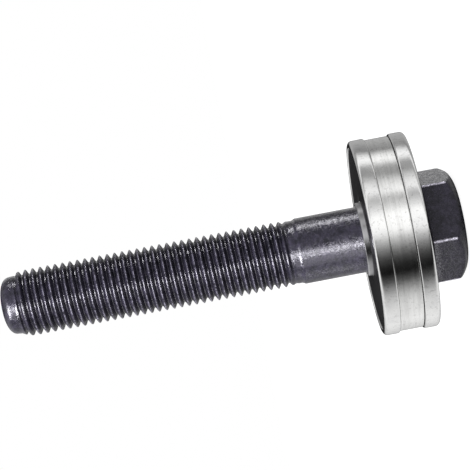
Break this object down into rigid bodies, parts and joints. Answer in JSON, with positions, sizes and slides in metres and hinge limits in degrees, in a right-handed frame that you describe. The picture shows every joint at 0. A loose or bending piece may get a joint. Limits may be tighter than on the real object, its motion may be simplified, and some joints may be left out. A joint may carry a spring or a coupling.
{
  "type": "thrust bearing draw bolt",
  "caption": "Hex-head draw bolt with a relief neck and pilot nose, carrying a banded ball thrust bearing loose on its plain shank under the head.",
  "frame": {"origin": "centre of the hex head's end face, on which the bolt stands", "axes": "+Z along the bolt's axis from the head to the threaded tip; +Y out of one wrench flat; +X through a corner of the head"},
  "size_m": [0.0332, 0.0332, 0.0781],
  "materials": {
    "black_oxide": "oiled black oxide",
    "race_steel": "ground and turned",
    "band_steel": "bright, finely turned",
    "sleeve_steel": "bright drawn",
    "cage_steel": "pressed",
    "ball_steel": "lapped"
  },
  "bodies": {
    "bolt": {"draw_bolt": "black_oxide"},
    "rear_ring": {"rear_race": "race_steel", "inner_sleeve": "sleeve_steel"},
    "front_ring": {"front_race": "race_steel", "outer_band": "band_steel"},
    "ball_set": {"ball_cage": "cage_steel", "ball_01": "ball_steel", "ball_02": "ball_steel", "ball_03": "ball_steel", "ball_04": "ball_steel", "ball_05": "ball_steel", "ball_06": "ball_steel", "ball_07": "ball_steel", "ball_08": "ball_steel", "ball_09": "ball_steel", "ball_10": "ball_steel", "ball_11": "ball_steel", "ball_12": "ball_steel", "ball_13": "ball_steel", "ball_14": "ball_steel"}
  },
  "joints": [
    {"name": "bearing_lift", "type": "slide", "parent": "bolt", "child": "rear_ring", "axis": [0, 0, 1], "range_m": [0, 0.076]},
    {"name": "front_race_spin", "type": "hinge", "parent": "rear_ring", "child": "front_ring", "pos_m": [0, 0, 0.01145], "axis": [0, 0, 1], "continuous": true},
    {"name": "ball_set_orbit", "type": "hinge", "parent": "rear_ring", "child": "ball_set", "pos_m": [0, 0, 0.01145], "axis": [0, 0, 1], "continuous": true}
  ],
  "couplings": [
    {"joint": "ball_set_orbit", "follows": "front_race_spin", "ratio": 0.5}
  ]
}
